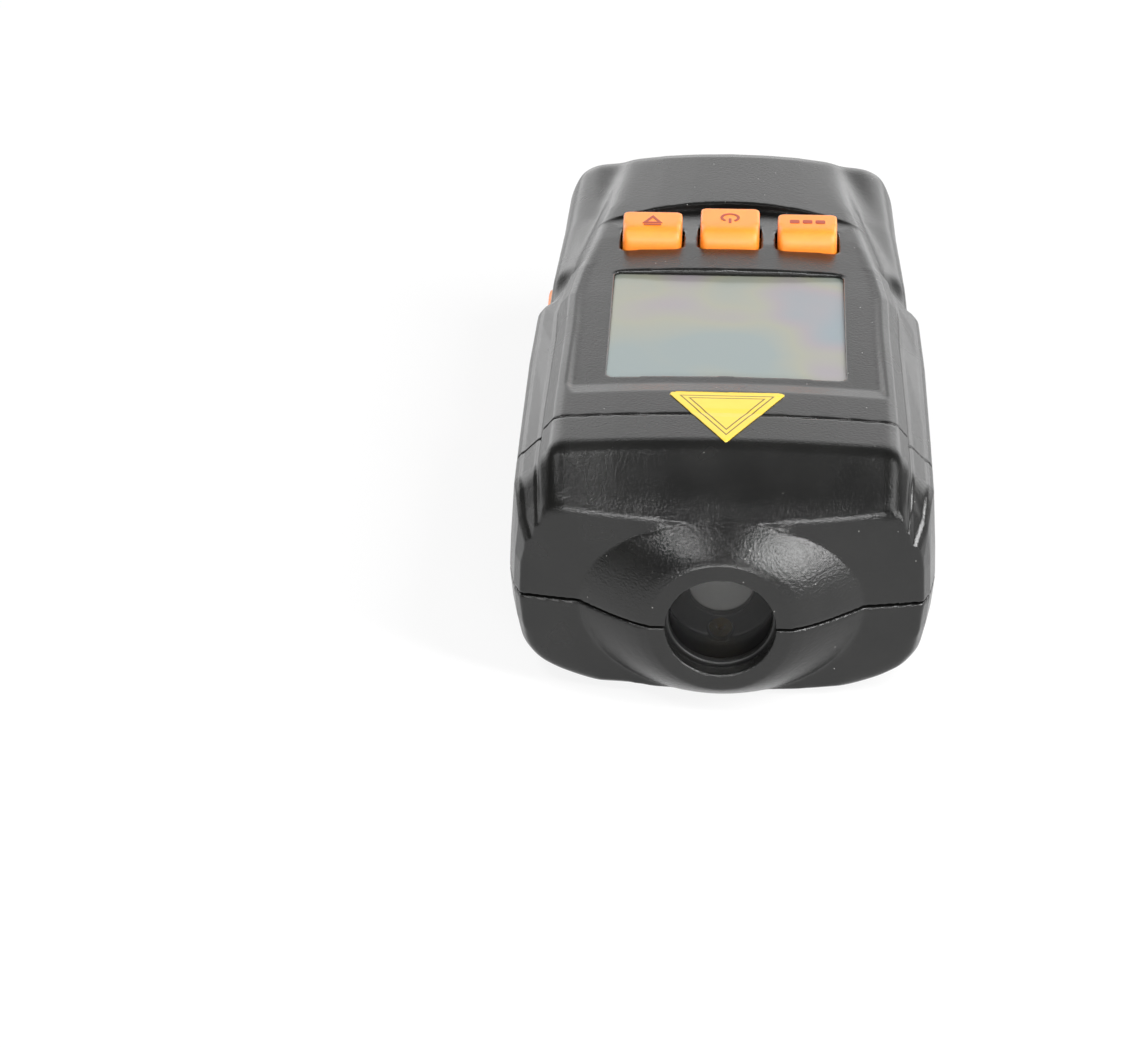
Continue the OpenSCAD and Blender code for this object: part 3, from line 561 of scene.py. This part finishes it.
signInk = innerFinish("signInk", signLook["ink"], signLook["other"], signLook["rough"])
yellowSticker()
lampSign()
powerSign()
memorySign()
print("key signs laid")

# floor, white to the eye, with a weak shadow kept
floorLook = {"size": 6.0, "below": 0.05 * mm, "white": 0.86, "shadow": 0.16}


def paleFloor():
    bpy.ops.object.select_all(action="DESELECT")
    bpy.ops.mesh.primitive_plane_add(size=floorLook["size"], location=(0, 0, -floorLook["below"]))
    floor = bpy.context.object
    floor.name = "floor"
    finish = bpy.data.materials.new("floorWhite")
    finish.use_nodes = True
    nodes, links = finish.node_tree.nodes, finish.node_tree.links
    nodes.clear()
    matt = nodes.new("ShaderNodeBsdfDiffuse")
    matt.inputs["Color"].default_value = (floorLook["white"],) * 3 + (1,)
    glow = nodes.new("ShaderNodeEmission")
    glow.inputs["Strength"].default_value = 1.0
    weak = nodes.new("ShaderNodeMixShader")
    weak.inputs["Fac"].default_value = floorLook["shadow"]
    links.new(glow.outputs[0], weak.inputs[1])
    links.new(matt.outputs[0], weak.inputs[2])
    choose = nodes.new("ShaderNodeMixShader")
    links.new(seenRays(nodes, links), choose.inputs["Fac"])
    links.new(matt.outputs[0], choose.inputs[1])
    links.new(weak.outputs[0], choose.inputs[2])
    output = nodes.new("ShaderNodeOutputMaterial")
    links.new(choose.outputs[0], output.inputs["Surface"])
    wear(floor, finish)


# studio: a white band along the horizon, higher behind, with bright far corners and a darker top
skyLook = {"horizon": 0.68, "zenith": 0.1, "fadeLow": 0.03, "fadeHigh": 0.26, "wall": 0.47, "lowWall": 2.3,
           "lowStart": 0.12, "lowEnd": 0.42, "fill": 0.29}


def studioSky():
    world = bpy.data.worlds.new("studio")
    scene.world = world
    world.use_nodes = True
    nodes, links = world.node_tree.nodes, world.node_tree.links
    back = nodes["Background"]
    coords = nodes.new("ShaderNodeTexCoord")
    split = nodes.new("ShaderNodeSeparateXYZ")
    links.new(coords.outputs["Generated"], split.inputs[0])
    behind = mathOf(nodes, links, "MAXIMUM", split.outputs["Y"], 0)
    # the wall behind lowers the height that counts
    height = mathOf(nodes, links, "MULTIPLY_ADD", behind, -skyLook["wall"], split.outputs["Z"])
    fade = rangeOf(nodes, links, height, skyLook["fadeLow"], skyLook["fadeHigh"],
                   skyLook["horizon"], skyLook["zenith"])
    aside = mathOf(nodes, links, "ABSOLUTE", split.outputs["X"])
    corner = mathOf(nodes, links, "MULTIPLY", aside, behind)
    low = rangeOf(nodes, links, corner, skyLook["lowStart"], skyLook["lowEnd"], 0, skyLook["lowWall"])
    strength = nodes.new("ShaderNodeMix")  # a fill for soft light, the drawn sky for seen rays
    strength.data_type = "FLOAT"
    strength.inputs[2].default_value = skyLook["fill"]
    links.new(seenRays(nodes, links), strength.inputs[0])
    links.new(mathOf(nodes, links, "ADD", fade, low), strength.inputs[3])
    back.inputs["Color"].default_value = (1, 1, 1, 1)
    links.new(strength.outputs[0], back.inputs["Strength"])


lamps = {
    "rightLamp": {"place": (0.58, -0.33, 0.54), "size": 0.2, "tall": 0.76, "power": 10.0},
    "leftLamp": {"place": (-0.35, -0.28, 0.79), "size": 0.14, "tall": 0.2, "power": 2.5},
    "frontLamp": {"place": (0.0, -1.0, 0.42), "size": 0.8, "tall": 0.16, "power": 8.0},
    "backLamp": {"place": (0.0, 0.5, 0.2), "size": 0.4, "tall": 0.4, "power": 0.5}}
lampAim = Vector((0, 0, 0.015))


def softLamp(name, setup):
    light = bpy.data.lights.new(name, "AREA")
    light.energy = setup["power"]
    light.shape = "RECTANGLE"
    light.size = setup["size"]
    light.size_y = setup["tall"]
    lamp = bpy.data.objects.new(name, light)
    scene.collection.objects.link(lamp)
    lamp.location = setup["place"]
    aim = lampAim - lamp.location
    lamp.rotation_euler = aim.to_track_quat("-Z", "Y").to_euler()


eye = {"yaw": -3.07, "pitch": 30.47, "roll": -0.33, "place": (0.0013, -0.4628, 0.270), "sensor": 36,
       "focalPixels": 3600, "photoWidth": 1132, "nearest": 0.01}


def photoCamera():
    yaw, pitch, roll = (radians(eye[key]) for key in ("yaw", "pitch", "roll"))
    ahead = Vector((sin(yaw) * cos(pitch), cos(yaw) * cos(pitch), -sin(pitch)))
    level = Vector((cos(yaw), -sin(yaw), 0))
    upward = level.cross(ahead)
    right = level * cos(roll) + upward * sin(roll)
    up = upward * cos(roll) - level * sin(roll)
    lens = bpy.data.cameras.new("photoCamera")
    lens.sensor_width = eye["sensor"]
    lens.lens = eye["focalPixels"] / eye["photoWidth"] * eye["sensor"]
    lens.clip_start = eye["nearest"]
    camera = bpy.data.objects.new("photoCamera", lens)
    scene.collection.objects.link(camera)
    turn = Matrix((right, up, -ahead)).transposed().to_4x4()
    camera.matrix_world = Matrix.Translation(eye["place"]) @ turn
    scene.camera = camera


paleFloor()
studioSky()
for name, setup in lamps.items():
    softLamp(name, setup)
photoCamera()
print("stage set")
